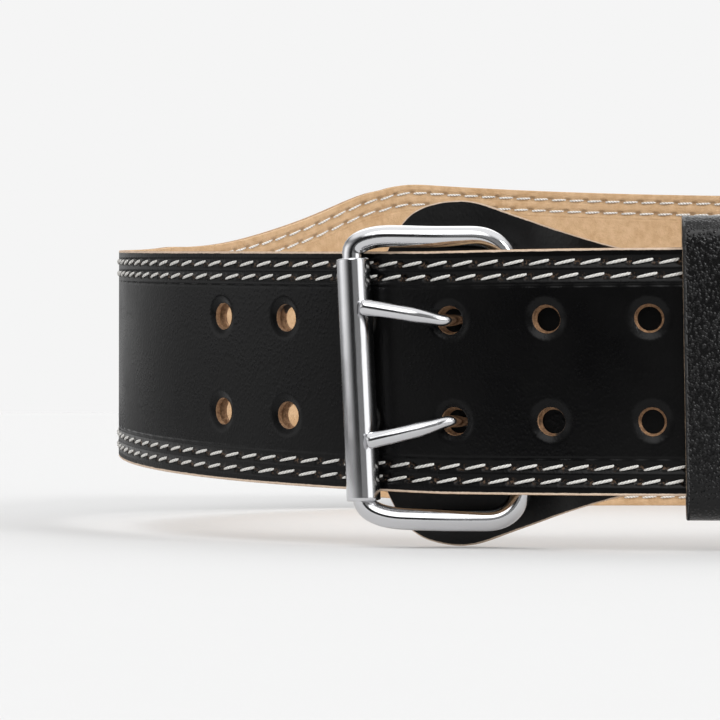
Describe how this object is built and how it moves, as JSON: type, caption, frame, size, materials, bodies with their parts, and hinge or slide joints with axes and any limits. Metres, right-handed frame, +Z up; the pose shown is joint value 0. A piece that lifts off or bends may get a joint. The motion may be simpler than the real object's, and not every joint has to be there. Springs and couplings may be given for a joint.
{
  "type": "weightlifting belt",
  "caption": "Buckled leather weightlifting belt standing as a loop, with a wide back panel, a roller buckle with paired prongs, a rounded tab and a keeper.",
  "frame": {"origin": "centre of the belt's bounding box on the table, at z = 0", "axes": "+Z up, +X to the right along the loop's longer width, +Y from the buckle at the front to the wide back panel"},
  "size_m": [0.336, 0.3182, 0.1126],
  "materials": {
    "black_leather": "smooth, semi-gloss, pale tan cut edges",
    "suede": "tan suede, matt",
    "tab_leather": "smooth, semi-gloss, pale cut edges",
    "keeper_leather": "pebble grain, semi-gloss",
    "frame_chrome": "polished chrome plate",
    "roller_chrome": "polished chrome plate",
    "prong_chrome": "polished chrome plate"
  },
  "bodies": {
    "belt": {"belt_leather": "black_leather", "belt_lining": "suede", "buckle_tab": "tab_leather", "buckle_frame": "frame_chrome", "prong_upper": "prong_chrome", "prong_lower": "prong_chrome", "keeper": "keeper_leather"},
    "roller": {"roller": "roller_chrome"}
  },
  "joints": [
    {"name": "roller_turn", "type": "hinge", "parent": "belt", "child": "roller", "pos_m": [-0.09702, -0.13327, 0.04188], "axis": [-0.0452, 0.029, 0.9986], "continuous": true}
  ]
}
